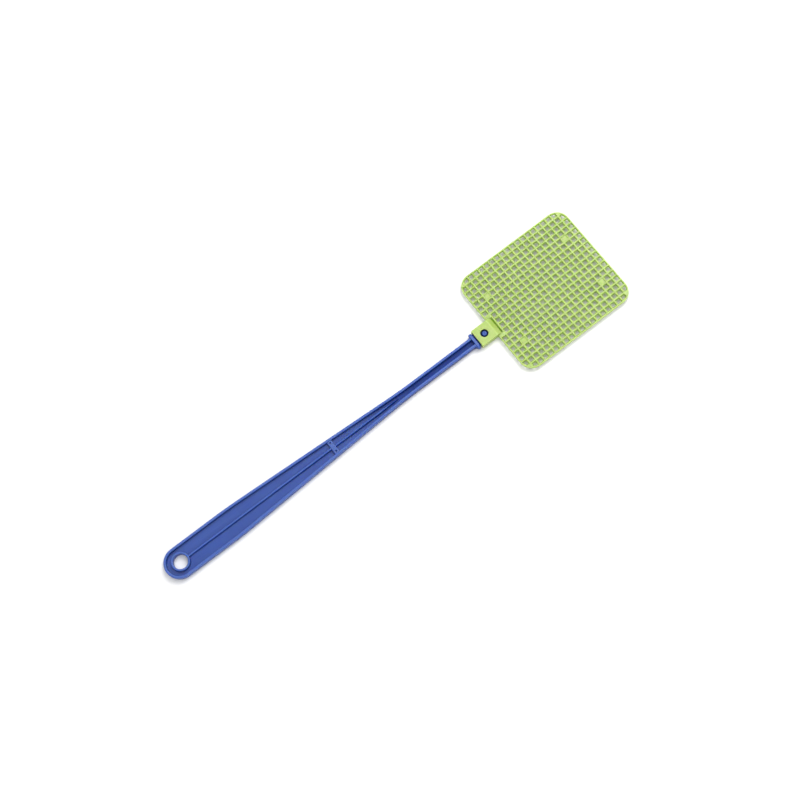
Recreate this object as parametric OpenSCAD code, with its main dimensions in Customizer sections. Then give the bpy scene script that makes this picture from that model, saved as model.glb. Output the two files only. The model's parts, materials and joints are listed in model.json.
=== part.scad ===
// Fly swatter in two mouldings: a long handle with a hanging eye, and a flexible mesh head.
// The head's socket slides over the handle's plug, and a pip on a springy tongue in the plug
// clicks into the socket's round window. The swatter lies face up on the plane Z = 0, with +X
// from the grip to the head, and X = 0 halfway along it.

/* [Overall] */
// Length from the grip's end to the head's far edge
overall_len = 450; // [430:1:470]

/* [Handle] */
// Width of the grip
grip_w = 27.2; // [25:0.2:30]
// Width of the slim neck
neck_w = 9.2; // [8:0.2:10]
// Thickness of the handle over its rims
handle_t = 6; // [5.6:0.1:6.4]
// Distance from the grip's end to where the taper starts
taper_start = 70; // [60:1:80]
// Distance from the grip's end to where the taper ends
taper_end = 244; // [230:1:260]
// Half length of the blend at each end of the taper
taper_blend = 12; // [6:1:16]
// Width of the rims
rim_w = 2.3; // [2:0.1:2.6]
// Depth of the recess on the front
front_recess = 3.2; // [2.6:0.1:3.4]
// Depth of the recess on the back
back_recess = 1.4; // [1:0.1:1.6]

/* [Hanging eye] */
// Radius of the hanging eye
eye_r = 6.2; // [5:0.1:6.6]
// Distance from the grip's end to the eye's centre
eye_inset = 14.6; // [13.6:0.1:15]
// Wall of the raised ring round the eye
eye_wall = 1.8; // [1.4:0.1:2]

/* [Ribs] */
// Width of the centre rib
rib_w = 1.6; // [1.2:0.1:2]
// How far the ribs stay below the rims
rib_drop = 0.7; // [0.4:0.1:1]
// Distance from the grip's end to the centre rib's pointed end
rib_end = 238; // [232:1:242]
// Distance from the grip's end to the cross block
cross_inset = 169; // [120:0.5:200]
// Length of the cross block
cross_len = 4.2; // [3.6:0.1:5]
// Radius of the two dimples in the cross block
dimple_r = 0.8; // [0.6:0.05:1]

/* [Collar and plug] */
// Distance from the grip's end to the collar
collar_inset = 318; // [316:0.1:318.4]
// Thickness of the collar
collar_t = 2.4; // [2:0.1:2.6]
// Width of the collar
collar_w = 15.2; // [14:0.1:16]
// Width of the plug
plug_w = 13; // [12.4:0.1:13.2]
// Thickness of the plug
plug_t = 3.6; // [3.5:0.1:3.7]
// Length of the plug
plug_len = 16.4; // [16:0.1:16.6]

/* [Snap tongue] */
// Width of the tongue
tongue_w = 6.4; // [6:0.1:6.6]
// Thickness of the tongue
tongue_t = 1.5; // [1.3:0.1:1.6]
// Gap round the tongue
tongue_gap = 0.6; // [0.5:0.05:0.7]
// Radius of the pip at its foot
pip_r = 2.9; // [2.6:0.1:3]
// Height of the pip above the tongue
pip_h = 1.0; // [0.8:0.05:1.1]

/* [Socket] */
// Width of the socket
socket_w = 16.8; // [16.6:0.1:17.2]
// Thickness of the socket
socket_t = 6.8; // [6.7:0.1:7.2]
// Gap between the collar and the socket
mouth_gap = 1.4; // [1.2:0.1:1.6]
// Play between the plug and the socket, on each side
play = 0.2; // [0.15:0.05:0.25]
// Radius of the round window over the pip
window_r = 3.5; // [3.4:0.1:3.7]
// Distance from the grip's end to the window's centre
window_inset = 329.8; // [329.6:0.1:330]
// Length of the ramp from the socket down to the mesh
ramp_len = 4.4; // [4:0.1:4.6]

/* [Mesh] */
// Cells along the head
cells_x = 20; // [20:1:20]
// Cells across the head
cells_y = 18; // [12:2:20]
// Distance from one bar to the next
pitch = 5.55; // [5.5:0.01:5.6]
// Width of each bar
bar_w = 1.2; // [1:0.1:1.4]
// Thickness of the mesh
mesh_t = 2.6; // [2.2:0.1:2.8]
// Radius of the head's corners
corner_r = 12; // [10:0.5:14]

/* [Hidden] */
$fn = 96;
eps = 0.01;
grip_end_x = -overall_len / 2;
grip_half = grip_w / 2;
neck_half = neck_w / 2;
taper_slope = (grip_half - neck_half) / (taper_end - taper_start);
blend_steps = 8;
floor_z = handle_t - front_recess;
rib_top_z = handle_t - rib_drop;
eye_x = grip_end_x + eye_inset;
rib_point_len = 18;
cross_x = grip_end_x + cross_inset;
dimple_depth = 1;
collar_x = grip_end_x + collar_inset;
collar_r = 3;
neck_fillet_r = 2.6;
plug_x = collar_x + collar_t;
plug_r = 1;
mid_z = socket_t / 2;
plug_top_z = mid_z + plug_t / 2;
plug_slot_x0 = plug_x + 1.8;
plug_slot_x1 = plug_x + plug_len - 1.2;
tongue_mid_z = plug_top_z - tongue_t / 2;
tongue_root_gap = 0.2;
tongue_x0 = plug_slot_x0 + tongue_root_gap + tongue_t / 2;
tongue_x1 = plug_slot_x1 - tongue_gap;
window_x = grip_end_x + window_inset;
pip_top_r = 2;
socket_x0 = plug_x + mouth_gap;
mesh_x0 = overall_len / 2 - cells_x * pitch - bar_w;
mesh_len = cells_x * pitch + bar_w;
mesh_w = cells_y * pitch + bar_w;
ramp_x1 = mesh_x0 + pitch - 0.8;
ramp_x0 = ramp_x1 - ramp_len;
cavity_x1 = plug_x + plug_len + 0.6;
flex_gap = 0.3;
notch_x1 = ramp_x1 + flex_gap;
flex_x = notch_x1 + mesh_t / 2;
notch_w = socket_w + 2 * flex_gap;
root_depth = 0.3;
pad_col = 3;
pad_row = 5;
corner_fill = 1.2;

// Rounded rectangle with its lower left corner at the origin
module rounded_plate(size, r) {
    translate([r, 0])
        square([size[0] - 2 * r, size[1]]);
    translate([0, r])
        square([size[0], size[1] - 2 * r]);
    for (x = [r, size[0] - r])
        for (y = [r, size[1] - r])
            translate([x, y])
                circle(r = r);
}

// Bar along X with a rounded YZ section, centred on Y = 0 and on height z
module rounded_bar(x, length, width, height, z, r) {
    translate([x, -width / 2, z - height / 2])
        rotate([90, 0, 90])
            linear_extrude(height = length)
                rounded_plate([width, height], r);
}

// A corner at c, softened over a length b on each side: 0 before it, d - c after it
function soft_corner(d, c, b) =
    d < c - b ? 0 : d > c + b ? d - c : pow(d - c + b, 2) / (4 * b);

// Half width of the handle at a distance d from the grip's end
function half_w(d) = grip_half - taper_slope
    * (soft_corner(d, taper_start, taper_blend) - soft_corner(d, taper_end, taper_blend));

// Distances at which the outline turns, closely spaced in the two blends only
function stations(last) = concat(
    [grip_half],
    [for (i = [0 : blend_steps]) taper_start + taper_blend * (2 * i / blend_steps - 1)],
    [for (i = [0 : blend_steps]) taper_end + taper_blend * (2 * i / blend_steps - 1)],
    [last]);

// Handle outline drawn in by an inset, from the round end to the distance last
module handle_outline(inset, last) {
    d = stations(last);
    n = len(d);
    translate([grip_end_x, 0]) {
        translate([grip_half, 0])
            circle(r = grip_half - inset);
        polygon(concat(
            [for (i = [0 : n - 1]) [d[i], half_w(d[i]) - inset]],
            [for (i = [n - 1 : -1 : 0]) [d[i], inset - half_w(d[i])]]));
    }
}

// Centre rib, from the eye's ring to its point
module centre_rib() {
    polygon([
        [eye_x, -rib_w / 2],
        [grip_end_x + rib_end - rib_point_len, -rib_w / 2],
        [grip_end_x + rib_end, 0],
        [grip_end_x + rib_end - rib_point_len, rib_w / 2],
        [eye_x, rib_w / 2]]);
}

// What stands in the recesses: the eye's ring, the centre rib and the cross block
module recess_islands() {
    translate([eye_x, 0])
        circle(r = eye_r + eye_wall);
    centre_rib();
    translate([cross_x, -grip_half])
        square([cross_len, grip_w]);
}

// One recess, left open where the islands stand
module recess(z0, z1) {
    translate([0, 0, z0])
        linear_extrude(height = z1 - z0)
            difference() {
                handle_outline(rim_w, collar_inset - eps);
                recess_islands();
            }
}

// Lowers the ribs on the front below the rims, but not the eye's ring
module rib_relief() {
    translate([0, 0, rib_top_z])
        linear_extrude(height = rib_drop + eps)
            difference() {
                handle_outline(rim_w, collar_inset - eps);
                translate([eye_x, 0])
                    circle(r = eye_r + eye_wall);
            }
}

// The two dimples in the cross block
module dimples() {
    for (side = [-1, 1])
        translate([cross_x + cross_len / 2, side * half_w(cross_inset) / 2,
                   rib_top_z - dimple_depth])
            cylinder(r = dimple_r, h = dimple_depth + eps);
}

// Concave flare where the neck meets the collar
module neck_flare() {
    linear_extrude(height = handle_t)
        difference() {
            translate([collar_x - neck_fillet_r, -neck_half - neck_fillet_r])
                square([neck_fillet_r + eps, neck_w + 2 * neck_fillet_r]);
            for (side = [-1, 1])
                translate([collar_x - neck_fillet_r, side * (neck_half + neck_fillet_r)])
                    circle(r = neck_fillet_r);
            translate([collar_x - 2 * neck_fillet_r, rim_w - neck_half])
                square([3 * neck_fillet_r, neck_w - 2 * rim_w]);
        }
}

// Window in the plug that frees the tongue
module plug_slot() {
    slot_w = tongue_w + 2 * tongue_gap;
    translate([plug_slot_x0, -slot_w / 2, 0])
        cube([plug_slot_x1 - plug_slot_x0, slot_w, socket_t]);
}

module handle() {
    color([0.16, 0.26, 0.62]) {
        difference() {
            linear_extrude(height = handle_t)
                handle_outline(0, collar_inset + eps);
            recess(floor_z, handle_t + eps);
            recess(-eps, back_recess);
            rib_relief();
            dimples();
            translate([eye_x, 0, -eps])
                cylinder(r = eye_r, h = handle_t + 2 * eps);
        }
        neck_flare();
        rounded_bar(collar_x, collar_t, collar_w, socket_t, mid_z, collar_r);
        difference() {
            rounded_bar(plug_x - eps, plug_len + eps, plug_w, plug_t, mid_z, plug_r);
            plug_slot();
        }
    }
}

// Springy strip in the plug, round at the root about which it bends
module snap_tongue() {
    color([0.16, 0.26, 0.62]) {
        translate([tongue_x0, -tongue_w / 2, tongue_mid_z - tongue_t / 2])
            cube([tongue_x1 - tongue_x0, tongue_w, tongue_t]);
        translate([tongue_x0, tongue_w / 2, tongue_mid_z])
            rotate([90, 0, 0])
                cylinder(d = tongue_t, h = tongue_w);
    }
}

// Domed pip that stands on the tongue, in the middle of the window
module snap_pip() {
    color([0.2, 0.32, 0.72])
        translate([window_x, 0, plug_top_z])
            cylinder(r1 = pip_r, r2 = pip_top_r, h = pip_h);
}

// Side view of the socket, with its ramp down to the mesh
module socket_profile() {
    polygon([
        [socket_x0, 0],
        [ramp_x0, 0],
        [ramp_x1, mid_z - mesh_t / 2],
        [ramp_x1, mid_z + mesh_t / 2],
        [ramp_x0, socket_t],
        [socket_x0, socket_t]]);
}

module head_socket() {
    cavity_w = plug_w + 2 * play;
    cavity_t = plug_t + 2 * play;
    color([0.78, 0.86, 0.42])
        difference() {
            translate([0, socket_w / 2, 0])
                rotate([90, 0, 0])
                    linear_extrude(height = socket_w)
                        socket_profile();
            rounded_bar(socket_x0 - eps, cavity_x1 - socket_x0 + eps,
                        cavity_w, cavity_t, mid_z, plug_r);
            translate([window_x, 0, mid_z])
                cylinder(r = window_r, h = socket_t);
        }
}

// True where a cell, counted from 1, is one of the four filled pads
function is_pad(col, row) =
    (col == pad_col || col == cells_x + 1 - pad_col)
    && (row == pad_row || row == cells_y + 1 - pad_row);

// How far a cell's centre lies outside the square part of the head at the corner, on one axis
function into_corner(offset_mm, span) = max(0, abs(offset_mm) - (span / 2 - corner_r));

// Distance from a cell's centre to the rim in a corner; large away from the corners
function corner_room(dx, dy) =
    into_corner(dx, mesh_len) > 0 && into_corner(dy, mesh_w) > 0
    ? corner_r - norm([into_corner(dx, mesh_len), into_corner(dy, mesh_w)])
    : corner_r;

module mesh_cells() {
    opening = pitch - bar_w;
    for (col = [1 : cells_x])
        for (row = [1 : cells_y]) {
            dx = (col - 0.5 - cells_x / 2) * pitch;
            dy = (row - 0.5 - cells_y / 2) * pitch;
            if (!is_pad(col, row) && corner_room(dx, dy) > corner_fill + bar_w)
                translate([mesh_x0 + mesh_len / 2 + dx, dy])
                    square([opening, opening], center = true);
        }
}

// Grid of square cells inside a plain rim, notched for the socket, and round at the root
// about which it bends
module head_mesh() {
    color([0.7, 0.84, 0.42]) {
        translate([0, 0, mid_z - mesh_t / 2])
            linear_extrude(height = mesh_t)
                difference() {
                    translate([mesh_x0, -mesh_w / 2])
                        rounded_plate([mesh_len, mesh_w], corner_r);
                    intersection() {
                        mesh_cells();
                        translate([mesh_x0 + bar_w, bar_w - mesh_w / 2])
                            rounded_plate([mesh_len - 2 * bar_w, mesh_w - 2 * bar_w],
                                          corner_r - bar_w);
                    }
                    translate([mesh_x0 - eps, -notch_w / 2])
                        square([flex_x - mesh_x0 + eps, notch_w]);
                }
        intersection() {
            translate([flex_x, notch_w / 2, mid_z])
                rotate([90, 0, 0])
                    cylinder(d = mesh_t, h = notch_w);
            translate([notch_x1, -notch_w / 2, 0])
                cube([mesh_t / 2 + root_depth, notch_w, socket_t]);
        }
    }
}

handle();
snap_tongue();
snap_pip();
head_socket();
head_mesh();
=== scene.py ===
"""Looks of the fly swatter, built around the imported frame.

Shapes are worked out in millimetres, in the frame's own axes: +X from the grip to the head and
+Z up out of the front face. They go to metres once, when each piece's mesh is made.
"""
import json
import math

import bmesh
import bpy
import numpy as np
from mathutils import Matrix, Vector
from mathutils.geometry import delaunay_2d_cdt


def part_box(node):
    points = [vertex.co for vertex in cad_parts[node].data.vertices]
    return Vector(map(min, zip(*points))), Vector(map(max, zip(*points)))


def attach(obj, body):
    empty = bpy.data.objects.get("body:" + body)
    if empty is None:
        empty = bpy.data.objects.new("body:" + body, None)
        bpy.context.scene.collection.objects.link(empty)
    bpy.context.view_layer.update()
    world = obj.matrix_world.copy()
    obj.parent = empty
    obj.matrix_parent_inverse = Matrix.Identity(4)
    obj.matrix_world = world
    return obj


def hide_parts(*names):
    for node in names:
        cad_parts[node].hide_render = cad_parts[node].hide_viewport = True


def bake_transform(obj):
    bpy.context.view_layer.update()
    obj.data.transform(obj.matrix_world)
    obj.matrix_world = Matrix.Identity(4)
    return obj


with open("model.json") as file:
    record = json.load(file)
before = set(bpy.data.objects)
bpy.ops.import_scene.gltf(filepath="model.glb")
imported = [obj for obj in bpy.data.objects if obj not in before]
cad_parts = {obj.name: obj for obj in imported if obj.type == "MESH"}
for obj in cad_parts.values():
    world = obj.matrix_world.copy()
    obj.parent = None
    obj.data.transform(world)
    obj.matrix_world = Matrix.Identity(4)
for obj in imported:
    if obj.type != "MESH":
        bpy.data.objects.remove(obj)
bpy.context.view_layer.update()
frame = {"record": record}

MM = 0.001

# ---------------------------------------------------------------- sizes, mm


def box_mm(node):
    """Lowest and highest corner of a CAD node, in millimetres."""
    return [np.array(corner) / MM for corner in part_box(node)]


HANDLE_LOW, HANDLE_HIGH = box_mm("handle")
TONGUE_LOW, TONGUE_HIGH = box_mm("snap_tongue")
PIP_LOW, PIP_HIGH = box_mm("snap_pip")
SOCKET_LOW, SOCKET_HIGH = box_mm("head_socket")
MESH_LOW, MESH_HIGH = box_mm("head_mesh")
EYE = next(m for m in frame["record"]["mounts"] if m["name"] == "hang_eye")

# Handle
GRIP_END_X = -MESH_HIGH[0]
GRIP_HALF = HANDLE_HIGH[1]
NECK_HALF = 4.6
HANDLE_T = 2 * EYE["pos_m"][2] / MM
TAPER_START = GRIP_END_X + 70
TAPER_END = GRIP_END_X + 244
TAPER_BLEND = 12
TAPER_SLOPE = (GRIP_HALF - NECK_HALF) / (TAPER_END - TAPER_START)
RIM_W = 2.3
FRONT_FLOOR_Z = 2.8
BACK_FLOOR_Z = 1.4
EYE_X = EYE["pos_m"][0] / MM
EYE_R = EYE["dims"]["r_mm"]
EYE_WALL = 1.8
RIB_HALF = 0.8
RIB_DROP = 0.7
RIB_TIP_X = 13
RIB_POINT_LEN = 18
CROSS_X = -53.9
CROSS_HALF = 2.1
DIMPLE_Y = 4.24
DIMPLE_R = 0.8
DIMPLE_DEPTH = 1.0
STATION_STEP = 6

# Collar and plug
COLLAR_X = 93
COLLAR_T = 2.4
COLLAR_W = 15.2
COLLAR_R = 3
ROOT_X = COLLAR_X + COLLAR_T
FLARE_R = 2.6
PLUG_X1 = HANDLE_HIGH[0]
PLUG_W = 13
PLUG_T = 3.6
SLOT_X0 = 97.2
SLOT_X1 = 110.6
SLOT_HALF = 3.8

# Head
SOCKET_T = SOCKET_HIGH[2]
MID_Z = SOCKET_T / 2
SOCKET_HALF = SOCKET_HIGH[1]
PLAY = 0.2
CAVITY_X1 = 112.4
WINDOW_X = (PIP_LOW[0] + PIP_HIGH[0]) / 2
WINDOW_R = 3.5
RAMP_X0 = 113.15
RAMP_X1 = SOCKET_HIGH[0]
CELLS_X = 20
CELLS_Y = 18
BAR_W = 1.2
PITCH = (MESH_HIGH[0] - MESH_LOW[0] - BAR_W) / CELLS_X
OPENING = PITCH - BAR_W
MESH_T = MESH_HIGH[2] - MESH_LOW[2]
MESH_CENTRE_X = (MESH_HIGH[0] + MESH_LOW[0]) / 2
MESH_HALF = (MESH_HIGH - MESH_LOW)[:2] / 2
CORNER_R = 12
CORNER_FILL = 2.4
PAD_SINK = 0.6
PAD_GROW = 0.25
SOCKET_BORDER = 0.4
PADS = [(3, 5), (3, 14), (18, 5), (18, 14)]

# Moulding details
DRAFT = 0.08
SUPPORT = 0.35
ARC_STEPS = 4

# ---------------------------------------------------------------- profiles


def arc(centre_x, centre_z, r, start, end, steps=ARC_STEPS):
    """Points along an arc, with its angles in degrees."""
    angles = np.radians(np.linspace(start, end, steps + 1))
    return [(centre_x + r * math.cos(a), centre_z + r * math.sin(a)) for a in angles]


def edge_profile(face, r, start=0.0, steps=ARC_STEPS, support=SUPPORT):
    """Offset and height inwards from a boundary: a drafted wall, then a rounded edge."""
    points = [(0.0, start)] + arc(DRAFT + r, face - r, r, 180, 90, steps)
    return points + ([(DRAFT + r + support, face)] if support else [])


def ridge_profile(face, floor, r_top, r_foot, draft=0.12):
    """Offset and height outwards from a ridge's edge: rounded top, drafted wall and foot."""
    top = arc(-r_top, face - r_top, r_top, 90, 0)
    foot = arc(draft + r_foot, floor + r_foot, r_foot, 180, 270)
    return top + foot + [(draft + r_foot + SUPPORT, floor)]


def height(profile, offset):
    """Height of a profile at one or many offsets. It stays level past its two ends."""
    offsets, heights = zip(*profile)
    return np.interp(offset, offsets, heights)


def soft_corner(x, c, b):
    """0 before c and x - c after it, with the corner softened over b on each side."""
    x = np.asarray(x, float)
    bend = (x - c + b) ** 2 / (4 * b)
    return np.where(x < c - b, 0.0, np.where(x > c + b, x - c, bend))


def rounded_inset(x, y, centre, half, r):
    """Distance inwards from a rounded rectangle's outline."""
    qx = np.abs(x - centre[0]) - (half[0] - r)
    qy = np.abs(y - centre[1]) - (half[1] - r)
    outside = np.hypot(np.maximum(qx, 0), np.maximum(qy, 0))
    return r - outside - np.minimum(np.maximum(qx, qy), 0)


def rounded_loop(centre, half, r, steps=ARC_STEPS):
    """Points round a rounded rectangle, anticlockwise."""
    points = []
    for quarter, (sx, sy) in enumerate([(1, 1), (-1, 1), (-1, -1), (1, -1)]):
        corner = (centre[0] + sx * (half[0] - r), centre[1] + sy * (half[1] - r))
        if r > 0:
            points += arc(*corner, r, 90 * quarter, 90 * quarter + 90, steps)
        else:
            points.append(corner)
    return points


def circle(centre, r, count=64):
    """Points round a circle, anticlockwise."""
    return arc(*centre, r, 0, 360 * (1 - 1 / count), count - 1)


# ---------------------------------------------------------------- mesh tools


class Plan:
    """The lines of one face as seen from above, with the heights that are already known."""

    def __init__(self):
        self.points, self.known, self.edges = [], [], []

    def line(self, points, closed=False, known=math.nan):
        first, count = len(self.points), len(points)
        self.points += [Vector(p) for p in points]
        self.known += [known] * count
        self.edges += [(first + i, first + i + 1) for i in range(count - 1)]
        if closed:
            self.edges.append((first + count - 1, first))

    def face(self, inside, heights):
        """Points with their heights, and the triangles whose middle is inside."""
        found = delaunay_2d_cdt(self.points, self.edges, [], 0, 1e-6)
        flat = np.array([v[:] for v in found[0]])
        tall = np.array(heights(flat[:, 0], flat[:, 1]), float)
        for i, sources in enumerate(found[3]):
            if sources and not math.isnan(self.known[sources[0]]):
                tall[i] = self.known[sources[0]]
        faces = np.array(found[2])
        a, b, c = (flat[faces[:, k]] for k in range(3))
        u, v = b - a, c - a
        area = u[:, 0] * v[:, 1] - u[:, 1] * v[:, 0]
        faces[area < 0] = faces[area < 0][:, ::-1]
        middle = (a + b + c) / 3
        keep = inside(middle[:, 0], middle[:, 1]) & (np.abs(area) > 1e-9)
        return np.column_stack([flat, tall]), faces[keep]


def two_faced(front, back, mid_z):
    """A closed bmesh of a front and a back face that share their outline at mid_z."""
    bm = bmesh.new()
    for (points, faces), side in ((front, 1), (back, -1)):
        used = np.unique(faces)
        verts = {i: bm.verts.new((*points[i, :2], mid_z + side * points[i, 2])) for i in used}
        for triangle in faces[:, ::side]:
            bm.faces.new([verts[i] for i in triangle])
    bmesh.ops.remove_doubles(bm, verts=bm.verts, dist=1e-5)
    bmesh.ops.holes_fill(bm, edges=[e for e in bm.edges if e.is_boundary], sides=0)
    return bm


def loft(loops):
    """A closed bmesh through loops of equally many 3-D points, capped at both ends."""
    bm = bmesh.new()
    rings = [[bm.verts.new(p) for p in loop] for loop in loops]
    for low, high in zip(rings, rings[1:]):
        for i in range(len(low)):
            j = (i + 1) % len(low)
            bm.faces.new([low[i], low[j], high[j], high[i]])
    bm.faces.new(rings[0][::-1])
    bm.faces.new(rings[-1])
    bmesh.ops.recalc_face_normals(bm, faces=bm.faces)
    return bm


def as_object(bm, name):
    """A scene object from a bmesh, which is freed."""
    mesh = bpy.data.meshes.new(name)
    bm.to_mesh(mesh)
    bm.free()
    obj = bpy.data.objects.new(name, mesh)
    bpy.context.scene.collection.objects.link(obj)
    return obj


def combine(name, base, *steps):
    """Union or difference of closed bmeshes, in order: each step is (operation, bmesh)."""
    obj = as_object(base, name)
    for operation, bm in steps:
        tool = as_object(bm, name + "_tool")
        modifier = obj.modifiers.new("combine", "BOOLEAN")
        modifier.operation = operation
        modifier.solver = "MANIFOLD"
        modifier.object = tool
        graph = bpy.context.evaluated_depsgraph_get()
        made = bpy.data.meshes.new_from_object(obj.evaluated_get(graph))
        obj.modifiers.clear()
        old, obj.data = obj.data, made
        bpy.data.meshes.remove(old)
        bpy.data.meshes.remove(tool.data)
    obj.data.name = name
    obj.data.materials.clear()
    return obj


SHARP_ANGLE = math.radians(38)
FULL_TURN = math.radians(20)


def finish_mesh(obj):
    """To metres, with smooth shading, weighted normals and marks along edges and folds."""
    mesh = obj.data
    mesh.transform(Matrix.Scale(MM, 4))
    bm = bmesh.new()
    bm.from_mesh(mesh)
    bmesh.ops.recalc_face_normals(bm, faces=bm.faces)
    edge, fold = [], []
    for vert in bm.verts:
        turns = [e.calc_face_angle_signed(0.0) for e in vert.link_edges]
        edge.append(min(1.0, max(0.0, max(turns)) / FULL_TURN))
        fold.append(min(1.0, max(0.0, -min(turns)) / FULL_TURN))
    bm.to_mesh(mesh)
    bm.free()
    for name, values in (("edge", edge), ("fold", fold)):
        mesh.attributes.new(name, "FLOAT", "POINT").data.foreach_set("value", values)
    mesh.shade_smooth()
    mesh.set_sharp_from_angle(angle=SHARP_ANGLE)
    normals = obj.modifiers.new("weighted_normals", "WEIGHTED_NORMAL")
    normals.keep_sharp = True
    return obj


# ---------------------------------------------------------------- handle

FLARE_X = COLLAR_X - FLARE_R
NECK_STOP_X = COLLAR_X + 0.6
GRIP_CENTRE_X = GRIP_END_X + GRIP_HALF
RING_R = EYE_R + EYE_WALL
RIM_EDGE_R = 0.9
BORE_EDGE_R = 0.75
RIB_FOOT = 0.65
RIB_END_X = (RIB_TIP_X - RIB_POINT_LEN, RIB_TIP_X, RIB_TIP_X + 3)
RIB_END_HALF = (RIB_HALF, 0.0, -RIB_FOOT)


def half_width(x):
    """Half the handle's width at x, without the flare at the collar."""
    start = soft_corner(x, TAPER_START, TAPER_BLEND)
    end = soft_corner(x, TAPER_END, TAPER_BLEND)
    return GRIP_HALF - TAPER_SLOPE * (start - end)


def handle_inset(x, y):
    """Distance inwards from the handle's outline, without the flare."""
    round_end = GRIP_HALF - np.hypot(x - GRIP_CENTRE_X, y)
    return np.where(x < GRIP_CENTRE_X, round_end, half_width(x) - np.abs(y))


def flared_inset(x, y):
    """Distance inwards from the handle's outline, with the flare."""
    along = np.minimum(x, COLLAR_X) - FLARE_X
    flare = np.hypot(along, np.abs(y) - NECK_HALF - FLARE_R) - FLARE_R
    return np.where(x > FLARE_X, flare, handle_inset(x, y))


def stations(first, last):
    """Places along X for the handle's lines, closer together where the taper bends."""
    plain = np.arange(GRIP_CENTRE_X, FLARE_X, STATION_STEP)
    bends = [c + TAPER_BLEND * np.linspace(-1, 1, 9) for c in (TAPER_START, TAPER_END)]
    both = np.unique(np.round(np.concatenate([plain, *bends]), 3))
    return [x for x in both if first < x < last]


def handle_line(inset, flared):
    """Line round the handle at an inset, from the collar round the grip and back."""
    side = [(x, half_width(x) - inset) for x in stations(GRIP_CENTRE_X, FLARE_X - 1)]
    if flared:
        reach = math.degrees(math.asin(FLARE_R / (FLARE_R + inset)))
        side += arc(FLARE_X, NECK_HALF + FLARE_R, FLARE_R + inset, -90, reach - 90, 8)
    else:
        side.append((FLARE_X, NECK_HALF - inset))
    side.append((NECK_STOP_X, side[-1][1]))
    end = arc(GRIP_CENTRE_X, 0, GRIP_HALF - inset, 90, 270, 40)
    return side[::-1] + end + [(x, -y) for x, y in side]


def rib_half(x):
    """Half width of the centre rib; below 0 past its tip, where only its foot is left."""
    return np.interp(x, RIB_END_X, RIB_END_HALF)


def rib_line(offset):
    """Line round the centre rib, from inside the eye's ring to its tip and back."""
    start = EYE_X + RING_R - EYE_WALL / 2
    tip = float(np.interp(offset, np.negative(RIB_END_HALF), RIB_END_X))
    point = RIB_END_X[0]
    xs = [start, *stations(start, point - 1), point]
    xs += [x for x in (*stations(point + 1, tip - 1), RIB_TIP_X) if point < x < tip]
    side = [(x, float(rib_half(x)) + offset) for x in xs if x < tip]
    return side + [(tip, 0.0)] + [(x, -y) for x, y in side[::-1]]


def handle_face(front):
    """One face of the handle: its rims, recess, eye, centre rib and cross block."""
    mid = HANDLE_T / 2
    floor = FRONT_FLOOR_Z - mid if front else mid - BACK_FLOOR_Z
    rib_top = mid - RIB_DROP if front else mid
    outer = edge_profile(mid, RIM_EDGE_R)
    bore = edge_profile(mid, BORE_EDGE_R, support=0)
    rim = ridge_profile(mid, floor, 0.55, 0.5)
    ring = ridge_profile(mid, floor, 0.45, 0.5)
    rib = ridge_profile(rib_top, floor, 0.7, 0.3, 0.3)
    block = ridge_profile(rib_top, floor, 0.3, 0.35)
    dimple = ridge_profile(rib_top, rib_top - DIMPLE_DEPTH, 0.15, 0.25, 0.1)
    centres = [(CROSS_X, DIMPLE_Y), (CROSS_X, -DIMPLE_Y)] if front else []
    plan = Plan()
    for offset, _ in outer:
        plan.line(handle_line(offset, True))
    for offset, _ in rim:
        plan.line(handle_line(RIM_W + offset, False))
    for offset, _ in bore:
        plan.line(circle((EYE_X, 0), EYE_R + offset, 72), closed=True)
    for offset, _ in ring:
        plan.line(circle((EYE_X, 0), RING_R + offset, 72), closed=True)
    for offset, _ in rib:
        plan.line(rib_line(offset))
    plan.line([(EYE_X + RING_R - EYE_WALL / 2, 0), (RIB_TIP_X - RIB_POINT_LEN, 0)])
    reach = float(half_width(CROSS_X)) - RIM_W + 0.2
    for side in (-1, 1):
        for offset, _ in block:
            x = CROSS_X + side * (CROSS_HALF + offset)
            plan.line([(x, y) for y in np.linspace(-reach, reach, 13)])
    for centre in centres:
        for offset, _ in dimple:
            if offset < DIMPLE_R - 0.2:
                plan.line(circle(centre, DIMPLE_R - offset, 20), closed=True)
    end_half = NECK_HALF + FLARE_R
    plan.line([(NECK_STOP_X, -end_half), (NECK_STOP_X, end_half)])

    def heights(x, y):
        r = np.hypot(x - EYE_X, y)
        after_ring = np.where(x > EYE_X, height(rib, np.abs(y) - rib_half(x)), floor)
        ridges = np.maximum.reduce([
            height(rim, handle_inset(x, y) - RIM_W),
            height(ring, r - RING_R),
            after_ring,
            height(block, np.abs(x - CROSS_X) - CROSS_HALF)])
        for centre in centres:
            inside = DIMPLE_R - np.hypot(x - centre[0], y - centre[1])
            ridges = np.minimum(ridges, height(dimple, inside) + 10 * (inside < -0.3))
        edges = np.minimum(height(outer, flared_inset(x, y)), height(bore, r - EYE_R))
        return np.minimum(ridges, edges)

    def inside(x, y):
        r = np.hypot(x - EYE_X, y)
        return (flared_inset(x, y) > 1e-4) & (r > EYE_R - 1e-3) & (x < NECK_STOP_X)

    return plan.face(inside, heights)


def bar_loops(sections, width, thickness, r, mid_z):
    """Loops of a rounded bar along X: each section is (x, how far it is drawn in)."""
    loops = []
    for x, drawn in sections:
        half = (width / 2 - drawn, thickness / 2 - drawn)
        loop = rounded_loop((0, mid_z), half, max(r - drawn, 0.05), 6)
        loops.append([(x, y, z) for y, z in loop])
    return loops


def prism_loops(sections, centre, half, r):
    """Loops of an upright rounded prism: each section is (z, how far it is drawn in)."""
    loops = []
    for z, drawn in sections:
        size = (half[0] - drawn, half[1] - drawn)
        loop = rounded_loop(centre, size, max(r - drawn, 0.05), 6)
        loops.append([(x, y, z) for x, y in loop])
    return loops


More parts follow.
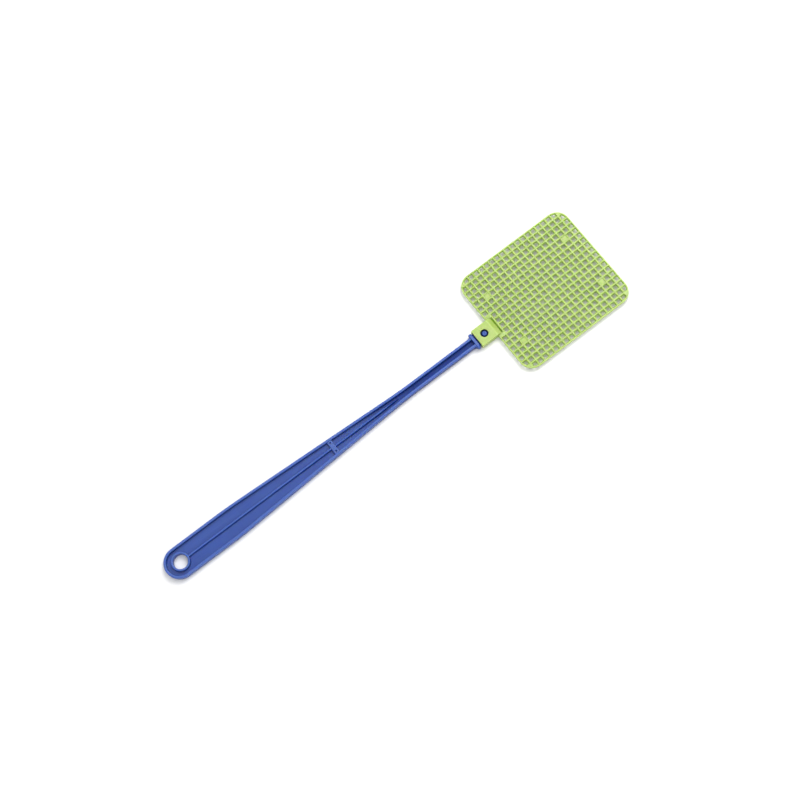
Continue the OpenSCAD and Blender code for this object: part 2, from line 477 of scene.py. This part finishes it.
def round_ends(start, end, r_start, r_end, steps=4):
    """Sections of a bar whose two end faces have rounded edges."""
    low = [(start + r_start - h, r_start - d) for d, h in arc(0, 0, r_start, 0, 90, steps)]
    high = [(end - r_end + h, r_end - d) for d, h in arc(0, 0, r_end, 0, 90, steps)]
    return low[::-1] + high


def collar():
    """The oval collar that stops the socket."""
    sections = round_ends(COLLAR_X, ROOT_X, 0.5, 0.25)
    return loft(bar_loops(sections, COLLAR_W, SOCKET_T, COLLAR_R, MID_Z))


def plug():
    """The flat block that the socket slides over, with a slimmer root behind the collar."""
    low = [(COLLAR_X + COLLAR_T / 2, 0.7), (ROOT_X + 0.9, 0.7), (ROOT_X + 1.3, 0)]
    sections = low + round_ends(COLLAR_X, PLUG_X1, 0.5, 0.6)[5:]
    return loft(bar_loops(sections, PLUG_W, PLUG_T, 1.0, MID_Z))


def plug_slot():
    """The slot in the plug, where the snap tongue dips."""
    half = ((SLOT_X1 - SLOT_X0) / 2, SLOT_HALF)
    centre = ((SLOT_X1 + SLOT_X0) / 2, 0)
    face = PLUG_T / 2
    flare = [(face - 0.25, 0), (face - 0.1, -0.08), (face, -0.25), (face + 1, -0.25)]
    sections = [(MID_Z - h, d) for h, d in flare[::-1]] + [(MID_Z + h, d) for h, d in flare]
    return loft(prism_loops(sections, centre, half, 0.5))


def make_handle():
    """The whole blue handle moulding without its tongue."""
    body = two_faced(handle_face(True), handle_face(False), HANDLE_T / 2)
    steps = [("UNION", collar()), ("UNION", plug()), ("DIFFERENCE", plug_slot())]
    return finish_mesh(combine("handle_moulding", body, *steps))


# ---------------------------------------------------------------- snap tongue

TONGUE_MID_Z = (TONGUE_LOW[2] + TONGUE_HIGH[2]) / 2
TONGUE_HALF_T = (TONGUE_HIGH[2] - TONGUE_LOW[2]) / 2
PIP_R = (PIP_HIGH[0] - PIP_LOW[0]) / 2
PIP_H = PIP_HIGH[2] - PIP_LOW[2]
PIP_DIMPLE_R = 0.95
PIP_DIMPLE = 0.22
MOAT = 0.55
PIP_WALL = [(0.0, PIP_H), (1.4, PIP_H), (1.7, 0.96 * PIP_H), (1.9, 0.86 * PIP_H),
            (2.05, 0.64 * PIP_H), (2.2, -0.3), (2.4, -MOAT), (2.75, -MOAT),
            (PIP_R, -0.4), (PIP_R + 0.05, 0.0)]
DIMPLE_RINGS = (0.15, 0.35, 0.55, 0.75, 0.95)


def pip_height(r):
    """Height of the pip over the tongue: a moat, a rounded rim and a dimpled middle."""
    dimple = PIP_DIMPLE * np.cos(np.clip(r / PIP_DIMPLE_R, 0, 1) * math.pi / 2) ** 2
    return height(PIP_WALL, r) - dimple


def make_tongue():
    """The snap tongue with its pip, rooted a little inside the plug."""
    x0, x1 = SLOT_X0 - 0.3, TONGUE_HIGH[0]
    centre, half = ((x0 + x1) / 2, 0), ((x1 - x0) / 2, TONGUE_HIGH[1])
    edge = edge_profile(TONGUE_HALF_T, 0.3, support=0.1)
    pip_centre = (WINDOW_X, 0)

    def face(front):
        plan = Plan()
        for offset, _ in edge:
            plan.line(rounded_loop(centre, [h - offset for h in half], 0.5), closed=True)
        for x in np.arange(x0 + 1, WINDOW_X - PIP_R, 0.8):
            plan.line([(x, y) for y in np.linspace(-half[1] + 0.5, half[1] - 0.5, 7)])
        if front:
            for r in (*DIMPLE_RINGS, *(r for r, _ in PIP_WALL[1:])):
                plan.line(circle(pip_centre, r, 40), closed=True)
            plan.points.append(Vector(pip_centre))
            plan.known.append(math.nan)

        def heights(x, y):
            flat = height(edge, rounded_inset(x, y, centre, half, 0.5))
            r = np.hypot(x - WINDOW_X, y)
            return flat + (pip_height(r) if front else 0)

        def inside(x, y):
            return rounded_inset(x, y, centre, half, 0.5) > 1e-4

        return plan.face(inside, heights)

    body = two_faced(face(True), face(False), TONGUE_MID_Z)
    return finish_mesh(as_object(body, "snap_tongue_and_pip"))


# ---------------------------------------------------------------- head

PLATE_TOP = MESH_T / 2
SOCKET_TOP = SOCKET_T / 2
GROOVE_X1 = MESH_LOW[0] + PITCH
GROOVE_TOP = 0.25
GROOVE_HALF = SOCKET_HALF - 0.3
SOCKET_RECT = (((SOCKET_LOW[0] + GROOVE_X1) / 2, 0),
               ((GROOVE_X1 - SOCKET_LOW[0]) / 2, SOCKET_HALF))
SOCKET_CORNER_R = 0.8
RAMP_SLOPE = (SOCKET_TOP - GROOVE_TOP) / (RAMP_X1 - RAMP_X0)
CELL_R = 0.45
CELL_DRAFT = 0.65
CELL_EDGE = [(-CELL_DRAFT, 0.0)] + arc(0.25, PLATE_TOP - 0.25, 0.25, 180, 90, 3)


def ramp_height(x):
    """Height of the socket along X: level, then down the ramp to the groove."""
    start = soft_corner(x, RAMP_X0, 0.9)
    end = soft_corner(x, RAMP_X1, 0.4)
    return SOCKET_TOP - RAMP_SLOPE * (start - end)


def clip_to_disc(points, centre, r):
    """The part of a convex outline that lies in a disc, with the disc's edge as points."""
    kept = []
    for (ax, ay), (bx, by) in zip(points, points[1:] + points[:1]):
        a_in = math.hypot(ax - centre[0], ay - centre[1]) <= r
        b_in = math.hypot(bx - centre[0], by - centre[1]) <= r
        if a_in:
            kept.append((ax, ay))
        if a_in != b_in:
            dx, dy, fx, fy = bx - ax, by - ay, ax - centre[0], ay - centre[1]
            a, b, c = dx * dx + dy * dy, 2 * (fx * dx + fy * dy), fx * fx + fy * fy - r * r
            root = math.sqrt(b * b - 4 * a * c)
            t = next(t for t in ((-b - root) / (2 * a), (-b + root) / (2 * a)) if 0 <= t <= 1)
            kept.append((ax + t * dx, ay + t * dy))
            if a_in:
                leave = kept[-1]
            else:
                enter = kept[-1]
    if len(kept) < 3 or not any(math.hypot(x - centre[0], y - centre[1]) > r for x, y in points):
        return kept
    start = math.atan2(leave[1] - centre[1], leave[0] - centre[0])
    end = math.atan2(enter[1] - centre[1], enter[0] - centre[0])
    sweep = (end - start) % (2 * math.pi)
    count = max(1, round(math.degrees(sweep) / 6))
    between = [start + sweep * i / count for i in range(1, count)]
    at = kept.index(leave) + 1
    round_part = [(centre[0] + r * math.cos(t), centre[1] + r * math.sin(t)) for t in between]
    return kept[:at] + round_part + kept[at:]


def cell_centre(col, row):
    """Middle of a cell; columns count from the socket, rows from -Y, both from 1."""
    return (MESH_CENTRE_X + (col - 0.5 - CELLS_X / 2) * PITCH,
            (row - 0.5 - CELLS_Y / 2) * PITCH)


def cell_outline(col, row, grow):
    """Outline of one opening, grown outwards; None where the head has no opening."""
    cx, cy = cell_centre(col, row)
    half = OPENING / 2
    beside_socket = col == 1 and abs(cy) - half < SOCKET_HALF + SOCKET_BORDER
    if (col, row) in PADS or beside_socket:
        return None
    dx = abs(cx - MESH_CENTRE_X) - (MESH_HALF[0] - CORNER_R)
    dy = abs(cy) - (MESH_HALF[1] - CORNER_R)
    if dx > 0 and dy > 0 and CORNER_R - math.hypot(dx, dy) < CORNER_FILL:
        return None
    corner_r = max(CELL_R + grow, CELL_R / 2)
    outline = rounded_loop((cx, cy), (half + grow, half + grow), corner_r, 3)
    if dx > -half and dy > -half:
        corner = (MESH_CENTRE_X + math.copysign(MESH_HALF[0] - CORNER_R, cx - MESH_CENTRE_X),
                  math.copysign(MESH_HALF[1] - CORNER_R, cy))
        outline = clip_to_disc(outline, corner, CORNER_R - BAR_W + grow)
    return outline


def pad_rect(col, row):
    """Middle and half size of a solid pad's sunk face."""
    half = OPENING / 2 + PAD_GROW
    return cell_centre(col, row), (half, half)


def in_cell(x, y, cells):
    """True where a point lies in an opening, taking each opening as a convex outline."""
    col = np.clip(((x - MESH_LOW[0] - BAR_W / 2) // PITCH).astype(int) + 1, 1, CELLS_X)
    row = np.clip(((y + MESH_HALF[1] - BAR_W / 2) // PITCH).astype(int) + 1, 1, CELLS_Y)
    result = np.zeros(len(x), bool)
    for i in range(len(x)):
        outline = cells.get((col[i], row[i]))
        if outline is None:
            continue
        ax, ay = outline[:, 0], outline[:, 1]
        bx, by = np.roll(ax, -1), np.roll(ay, -1)
        result[i] = ((bx - ax) * (y[i] - ay) - (by - ay) * (x[i] - ax) > -1e-7).all()
    return result


def head_face():
    """The head's face, the same on both sides: socket, ramp, groove, rim and cells."""
    rim = edge_profile(PLATE_TOP, 0.35, support=0.2)
    box = edge_profile(SOCKET_TOP, 0.45)
    groove = ridge_profile(PLATE_TOP, GROOVE_TOP, 0.25, 0.2, 0.05)
    pad_edge = ridge_profile(PLATE_TOP, PLATE_TOP - PAD_SINK, 0.25, 0.15, 0.05)
    mesh_centre = (MESH_CENTRE_X, 0)
    groove_centre = ((MESH_LOW[0] + GROOVE_X1) / 2, 0)
    groove_size = ((GROOVE_X1 - MESH_LOW[0]) / 2, GROOVE_HALF)
    plan = Plan()
    for offset, _ in rim:
        half = [h - offset for h in MESH_HALF]
        plan.line(rounded_loop(mesh_centre, half, CORNER_R - offset, 20), closed=True)
    for offset, _ in box:
        centre, half = SOCKET_RECT
        r = max(SOCKET_CORNER_R - offset, 0)
        plan.line(rounded_loop(centre, [h - offset for h in half], r), closed=True)
    for offset, _ in groove:
        half = [h - offset for h in groove_size]
        plan.line(rounded_loop(groove_centre, half, 0), closed=True)
    bends = [*(RAMP_X0 + 0.9 * np.linspace(-1, 1, 7)), *(RAMP_X1 + 0.4 * np.linspace(-1, 1, 5))]
    for x in bends:
        if x < GROOVE_X1 - 0.05:
            plan.line([(x, y) for y in np.linspace(-SOCKET_HALF, SOCKET_HALF, 9)])
    for place in PADS:
        centre, half = pad_rect(*place)
        for offset, _ in pad_edge:
            loop = rounded_loop(centre, [h - offset for h in half], CELL_R, 3)
            plan.line(loop, closed=True)
    cells = {}
    for col in range(1, CELLS_X + 1):
        for row in range(1, CELLS_Y + 1):
            for offset, tall in CELL_EDGE:
                outline = cell_outline(col, row, offset)
                if outline is None:
                    continue
                if tall == 0:
                    cells[col, row] = np.array(outline)
                plan.line(outline, closed=True, known=tall)

    def heights(x, y):
        plate = height(rim, rounded_inset(x, y, mesh_centre, MESH_HALF, CORNER_R))
        sunk = height(groove, rounded_inset(x, y, groove_centre, groove_size, 0))
        socket = height(box, rounded_inset(x, y, *SOCKET_RECT, SOCKET_CORNER_R))
        for place in PADS:
            inset = rounded_inset(x, y, *pad_rect(*place), CELL_R)
            plate = np.minimum(plate, height(pad_edge, inset))
        return np.maximum(np.minimum(plate, sunk), np.minimum(socket, ramp_height(x)))

    def inside(x, y):
        in_mesh = rounded_inset(x, y, mesh_centre, MESH_HALF, CORNER_R) > 1e-4
        in_socket = rounded_inset(x, y, *SOCKET_RECT, SOCKET_CORNER_R) > 1e-4
        return (in_mesh | in_socket) & ~in_cell(x, y, cells)

    return plan.face(inside, heights)


def cavity():
    """The space in the socket that the plug fills."""
    lead = [(SOCKET_LOW[0] - 1, -0.2), (SOCKET_LOW[0], -0.2), (SOCKET_LOW[0] + 0.1, -0.08),
            (SOCKET_LOW[0] + 0.3, 0)]
    sections = lead + round_ends(SOCKET_LOW[0], CAVITY_X1, 0.5, 0.5)[5:]
    return loft(bar_loops(sections, PLUG_W + 2 * PLAY, PLUG_T + 2 * PLAY, 1.0, MID_Z))


def window():
    """The round window over the pip."""
    rim_r = 0.3
    rim = [(WINDOW_R + rim_r - d, SOCKET_T - rim_r + h) for d, h in arc(0, 0, rim_r, 0, 90)]
    sections = [(WINDOW_R, MID_Z)] + rim + [(WINDOW_R + rim_r, SOCKET_T + 1)]
    return loft([[(x, y, z) for x, y in circle((WINDOW_X, 0), r)] for r, z in sections])


def make_head():
    """The whole green head moulding."""
    face = head_face()
    body = two_faced(face, face, MID_Z)
    steps = [("DIFFERENCE", cavity()), ("DIFFERENCE", window())]
    return finish_mesh(combine("head_moulding", body, *steps))


# ---------------------------------------------------------------- materials


class Nodes:
    """Short calls that add linked nodes to a material."""

    def __init__(self, name):
        self.material = bpy.data.materials.new(name)
        self.material.use_nodes = True
        self.tree = self.material.node_tree
        self.shader = self.tree.nodes["Principled BSDF"]
        self.coords = self.add("ShaderNodeTexCoord").outputs["Object"]

    def add(self, kind, values=None, **settings):
        """A new node; each value is a number, a colour or a socket to link."""
        node = self.tree.nodes.new(kind)
        for key, value in settings.items():
            setattr(node, key, value)
        for key, value in (values or {}).items():
            self.feed(node.inputs[key], value)
        return node

    def feed(self, socket, value):
        if isinstance(value, bpy.types.NodeSocket):
            self.tree.links.new(value, socket)
        else:
            socket.default_value = value

    def noise(self, scale, stretch=(1, 1, 1), detail=3.0, roughness=0.5):
        mapping = self.add("ShaderNodeMapping", {"Vector": self.coords, "Scale": stretch})
        values = {"Vector": mapping.outputs[0], "Scale": scale, "Detail": detail,
                  "Roughness": roughness}
        return self.add("ShaderNodeTexNoise", values).outputs["Fac"]

    def ramp(self, fac, low, high, from_low=0.0, from_high=1.0):
        """low to high as fac goes from from_low to from_high, level outside."""
        values = {"Value": fac, "From Min": from_low, "From Max": from_high,
                  "To Min": low, "To Max": high}
        return self.add("ShaderNodeMapRange", values).outputs[0]

    def times(self, a, b):
        return self.add("ShaderNodeMath", {0: a, 1: b}, operation="MULTIPLY").outputs[0]

    def plus(self, a, b):
        return self.add("ShaderNodeMath", {0: a, 1: b}, operation="ADD").outputs[0]

    def mix(self, fac, a, b, blend="MIX"):
        node = self.add("ShaderNodeMix", data_type="RGBA", blend_type=blend)
        for socket, value in ((node.inputs[0], fac), (node.inputs[6], a), (node.inputs[7], b)):
            self.feed(socket, value)
        return node.outputs[2]

    def place(self):
        """X, Y and Z on the object, in metres."""
        return self.add("ShaderNodeSeparateXYZ", {0: self.coords}).outputs

    def attribute(self, name):
        return self.add("ShaderNodeAttribute", attribute_name=name).outputs["Fac"]


WHITE = (1.0, 1.0, 1.0, 1.0)
DULL = (0.19, 0.19, 0.19, 1.0)
PLASTIC_IOR = 1.49
PLASTIC_SPECULAR = 0.42


def plastic(name, body, deep, pale, shade, rough, scatter, scatter_radius, crease_shade, depth,
            crest_highlight=0.0):
    """Satin moulded plastic: clouded colour, flow lines, worn pale edges, painted shade in inner
    corners and hollows, and optionally a painted highlight on high faces.

    scatter: how much light goes through the surface, over scatter_radius in millimetres
    crease_shade: how strongly the inner corners are painted dark, a painted shade
    depth: a function of the node builder that gives how far a place is painted to shade, where
    its reflection is painted duller too
    crest_highlight: how strongly high faces of the grip side are painted paler, a painted
    highlight
    """
    n = Nodes(name)
    clouds = n.noise(45, detail=4)
    flow = n.noise(9, stretch=(1, 14, 14), detail=5, roughness=0.6)
    specks = n.noise(900, detail=2)
    grain = n.noise(2600, detail=2)
    wear = n.ramp(n.noise(240, detail=4), 0, 1, 0.42, 0.62)
    tone = n.mix(n.ramp(clouds, 0, 0.55, 0.35, 0.68), body, deep)
    tone = n.mix(n.ramp(flow, 0, 0.3, 0.5, 0.72), tone, pale)
    tone = n.mix(n.ramp(specks, 0, 0.18, 0.6, 0.75), tone, deep)
    # Painted highlight: faces high up on the grip side are mixed towards the pale colour by
    # their height.
    if crest_highlight:
        x, _, z = n.place()
        high_face_highlight = n.ramp(z, 0, crest_highlight, 4.3 * MM, 5.6 * MM)
        grip_side = n.ramp(x, 1, 0, (COLLAR_X + 1) * MM, ROOT_X * MM)
        high_face_highlight = n.times(n.times(high_face_highlight, grip_side), n.ramp(clouds, 0.7, 1.0, 0.3, 0.6))
        tone = n.mix(high_face_highlight, tone, pale)
    tone = n.mix(n.times(n.attribute("edge"), n.ramp(wear, 0.12, 0.5)), tone, pale)
    # Painted shade: inner corners and the feet of walls are mixed towards the shade colour.
    tone = n.mix(n.times(n.attribute("fold"), crease_shade), tone, shade)
    # Painted shade where little light gets in at rest, by the depth function's mask.
    painted_shade = depth(n)
    tone = n.mix(painted_shade, tone, shade)
    n.feed(n.shader.inputs["Base Color"], tone)
    # Painted shade in the reflection: it is dulled where the shade is painted.
    n.feed(n.shader.inputs["Specular Tint"], n.mix(painted_shade, WHITE, DULL))
    shine = n.plus(n.ramp(flow, rough - 0.06, rough + 0.08, 0.3, 0.7),
                   n.ramp(wear, 0.0, 0.05))
    n.feed(n.shader.inputs["Roughness"], shine)
    lumps = n.plus(n.times(grain, 0.35), n.plus(n.times(specks, 0.4), n.times(flow, 1.2)))
    bump = n.add("ShaderNodeBump", {"Height": lumps, "Strength": 0.25, "Distance": 0.08 * MM})
    n.feed(n.shader.inputs["Normal"], bump.outputs[0])
    n.shader.inputs["IOR"].default_value = PLASTIC_IOR
    n.shader.inputs["Specular IOR Level"].default_value = PLASTIC_SPECULAR
    n.shader.inputs["Subsurface Weight"].default_value = scatter
    n.shader.inputs["Subsurface Radius"].default_value = scatter_radius
    n.shader.inputs["Subsurface Scale"].default_value = MM
    return n.material


def handle_painted_shade(n):
    """Painted shade on the whole plug from the collar on, and low down in the neck's channel."""
    x, _, z = n.place()
    behind = n.ramp(x, 0, 0.9, (ROOT_X - 0.05) * MM, (ROOT_X + 0.1) * MM)
    in_neck = n.ramp(x, 0, 0.8, (TAPER_END - 45) * MM, (TAPER_END + 10) * MM)
    before_collar = n.ramp(x, 1, 0, (COLLAR_X - 0.4) * MM, COLLAR_X * MM)
    sunk = n.ramp(z, 1, 0, 3.4 * MM, 5.0 * MM)
    return n.plus(behind, n.times(n.times(in_neck, before_collar), sunk))


def snap_painted_shade(n):
    """Painted shade on the tongue below the pip's top: the dark ring in the window at rest.

    It goes by height, so the tongue stays dark with the head off, and a pressed pip darkens.
    """
    z = n.place()[2]
    return n.ramp(z, 0.97, 0, 5.3 * MM, 5.9 * MM)


def groove_painted_shade(n):
    """Painted shade in the narrow groove between the socket's ramp and the mesh, at rest."""
    x, y, z = n.place()
    side = n.add("ShaderNodeMath", {0: y}, operation="ABSOLUTE").outputs[0]
    along = n.ramp(x, 0, 0.9, (RAMP_X1 - 1.0) * MM, (RAMP_X1 - 0.4) * MM)
    before_mesh = n.ramp(x, 1, 0, (GROOVE_X1 - 0.1) * MM, (GROOVE_X1 + 0.1) * MM)
    beside = n.ramp(side, 1, 0, (GROOVE_HALF - 0.1) * MM, (GROOVE_HALF + 0.2) * MM)
    sunk = n.ramp(z, 1, 0, (MID_Z + GROOVE_TOP + 0.3) * MM, (MID_Z + PLATE_TOP - 0.2) * MM)
    return n.times(n.times(along, before_mesh), n.times(beside, sunk))


def colour(r, g, b):
    """A linear colour with alpha 1."""
    return (r, g, b, 1.0)


# ---------------------------------------------------------------- stage


def make_floor():
    """A wide, pale, matt floor."""
    bm = bmesh.new()
    bmesh.ops.create_grid(bm, x_segments=1, y_segments=1, size=4.0)
    floor = as_object(bm, "floor")
    n = Nodes("pale_floor")
    tone = n.mix(n.ramp(n.noise(3), 0, 1), colour(0.88, 0.88, 0.88), colour(0.9, 0.9, 0.9))
    n.feed(n.shader.inputs["Base Color"], tone)
    n.shader.inputs["Roughness"].default_value = 0.9
    n.shader.inputs["Specular IOR Level"].default_value = 0.1
    floor.data.materials.append(n.material)


LIGHT_DISTANCE = 1.8
LOOK_AT = Vector((0.0147, -0.0007, 0))
CAMERA_AZIMUTH = -109.4
CAMERA_ELEVATION = 73.5
CAMERA_ROLL = math.radians(-18.23)
CAMERA_DISTANCE = 1.272
CAMERA_LENS = 68.34


def direction(azimuth, elevation):
    """Unit vector towards a place at an angle from +X to +Y, and at a height angle."""
    a, e = math.radians(azimuth), math.radians(elevation)
    return Vector((math.cos(a) * math.cos(e), math.sin(a) * math.cos(e), math.sin(e)))


def area_light(name, azimuth, elevation, size, watts):
    """A round soft box that looks at the origin."""
    data = bpy.data.lights.new(name, "AREA")
    data.shape = "DISK"
    data.size = size
    data.energy = watts
    lamp = bpy.data.objects.new(name, data)
    bpy.context.scene.collection.objects.link(lamp)
    lamp.location = LIGHT_DISTANCE * direction(azimuth, elevation)
    lamp.rotation_euler = direction(azimuth, elevation).to_track_quat("Z", "Y").to_euler()


def make_camera():
    """Camera high above the swatter, on its -Y side, rolled so that the head is upper right."""
    back = direction(CAMERA_AZIMUTH, CAMERA_ELEVATION)
    right = (-back).cross(Vector((0, 0, 1))).normalized()
    up = right.cross(-back)
    image_x = math.cos(CAMERA_ROLL) * right + math.sin(CAMERA_ROLL) * up
    image_y = -math.sin(CAMERA_ROLL) * right + math.cos(CAMERA_ROLL) * up
    data = bpy.data.cameras.new("camera")
    data.sensor_width = 36
    data.lens = CAMERA_LENS
    camera = bpy.data.objects.new("camera", data)
    bpy.context.scene.collection.objects.link(camera)
    axes = Matrix((image_x, image_y, back)).transposed().to_4x4()
    camera.matrix_world = Matrix.Translation(LOOK_AT + CAMERA_DISTANCE * back) @ axes
    bpy.context.scene.camera = camera


def make_light():
    """A weak even sky and three soft boxes."""
    world = bpy.data.worlds.new("studio")
    world.use_nodes = True
    sky = world.node_tree.nodes["Background"]
    sky.inputs["Color"].default_value = colour(1.0, 1.0, 1.0)
    sky.inputs["Strength"].default_value = 0.36
    bpy.context.scene.world = world
    area_light("key_softbox", 28, 50, size=1.2, watts=23)
    area_light("top_softbox", 60, 84, size=2.4, watts=20)
    area_light("fill_softbox", -105, 34, size=1.2, watts=7)


# ---------------------------------------------------------------- build

make_camera()
make_light()
make_floor()
bpy.context.scene.view_settings.view_transform = "Standard"

BLUE = {"body": colour(0.011, 0.059, 0.31), "deep": colour(0.007, 0.046, 0.27),
        "pale": colour(0.062, 0.13, 0.41), "rough": 0.32, "scatter_radius": (0.4, 1.0, 4.0)}
GREEN = {"body": colour(0.376, 0.495, 0.12), "deep": colour(0.33, 0.462, 0.088),
         "pale": colour(0.52, 0.64, 0.25), "rough": 0.34, "scatter_radius": (3.0, 4.0, 1.4)}
blue = plastic("blue_plastic", shade=colour(0.002, 0.024, 0.19), scatter=0.6, crease_shade=0.7,
               depth=handle_painted_shade, crest_highlight=0.8, **BLUE)
# A darker-shaded copy of the blue plastic for the tongue: its painted shade is darker, and it
# scatters less light.
snap_blue_dark_shade = plastic("blue_plastic_snap_dark_shade", shade=colour(0.002, 0.01, 0.06), scatter=0.15,
                    crease_shade=0.7, depth=snap_painted_shade, **BLUE)
green = plastic("green_plastic", shade=colour(0.15, 0.27, 0.012), scatter=0.8, crease_shade=0.4,
                depth=groove_painted_shade, **GREEN)

handle = make_handle()
handle.data.materials.append(blue)
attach(handle, "handle")
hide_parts("handle")

tongue = make_tongue()
tongue.data.materials.append(snap_blue_dark_shade)
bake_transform(tongue)
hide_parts("snap_tongue", "snap_pip")

head = make_head()
head.data.materials.append(green)
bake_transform(head)
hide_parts("head_socket", "head_mesh")
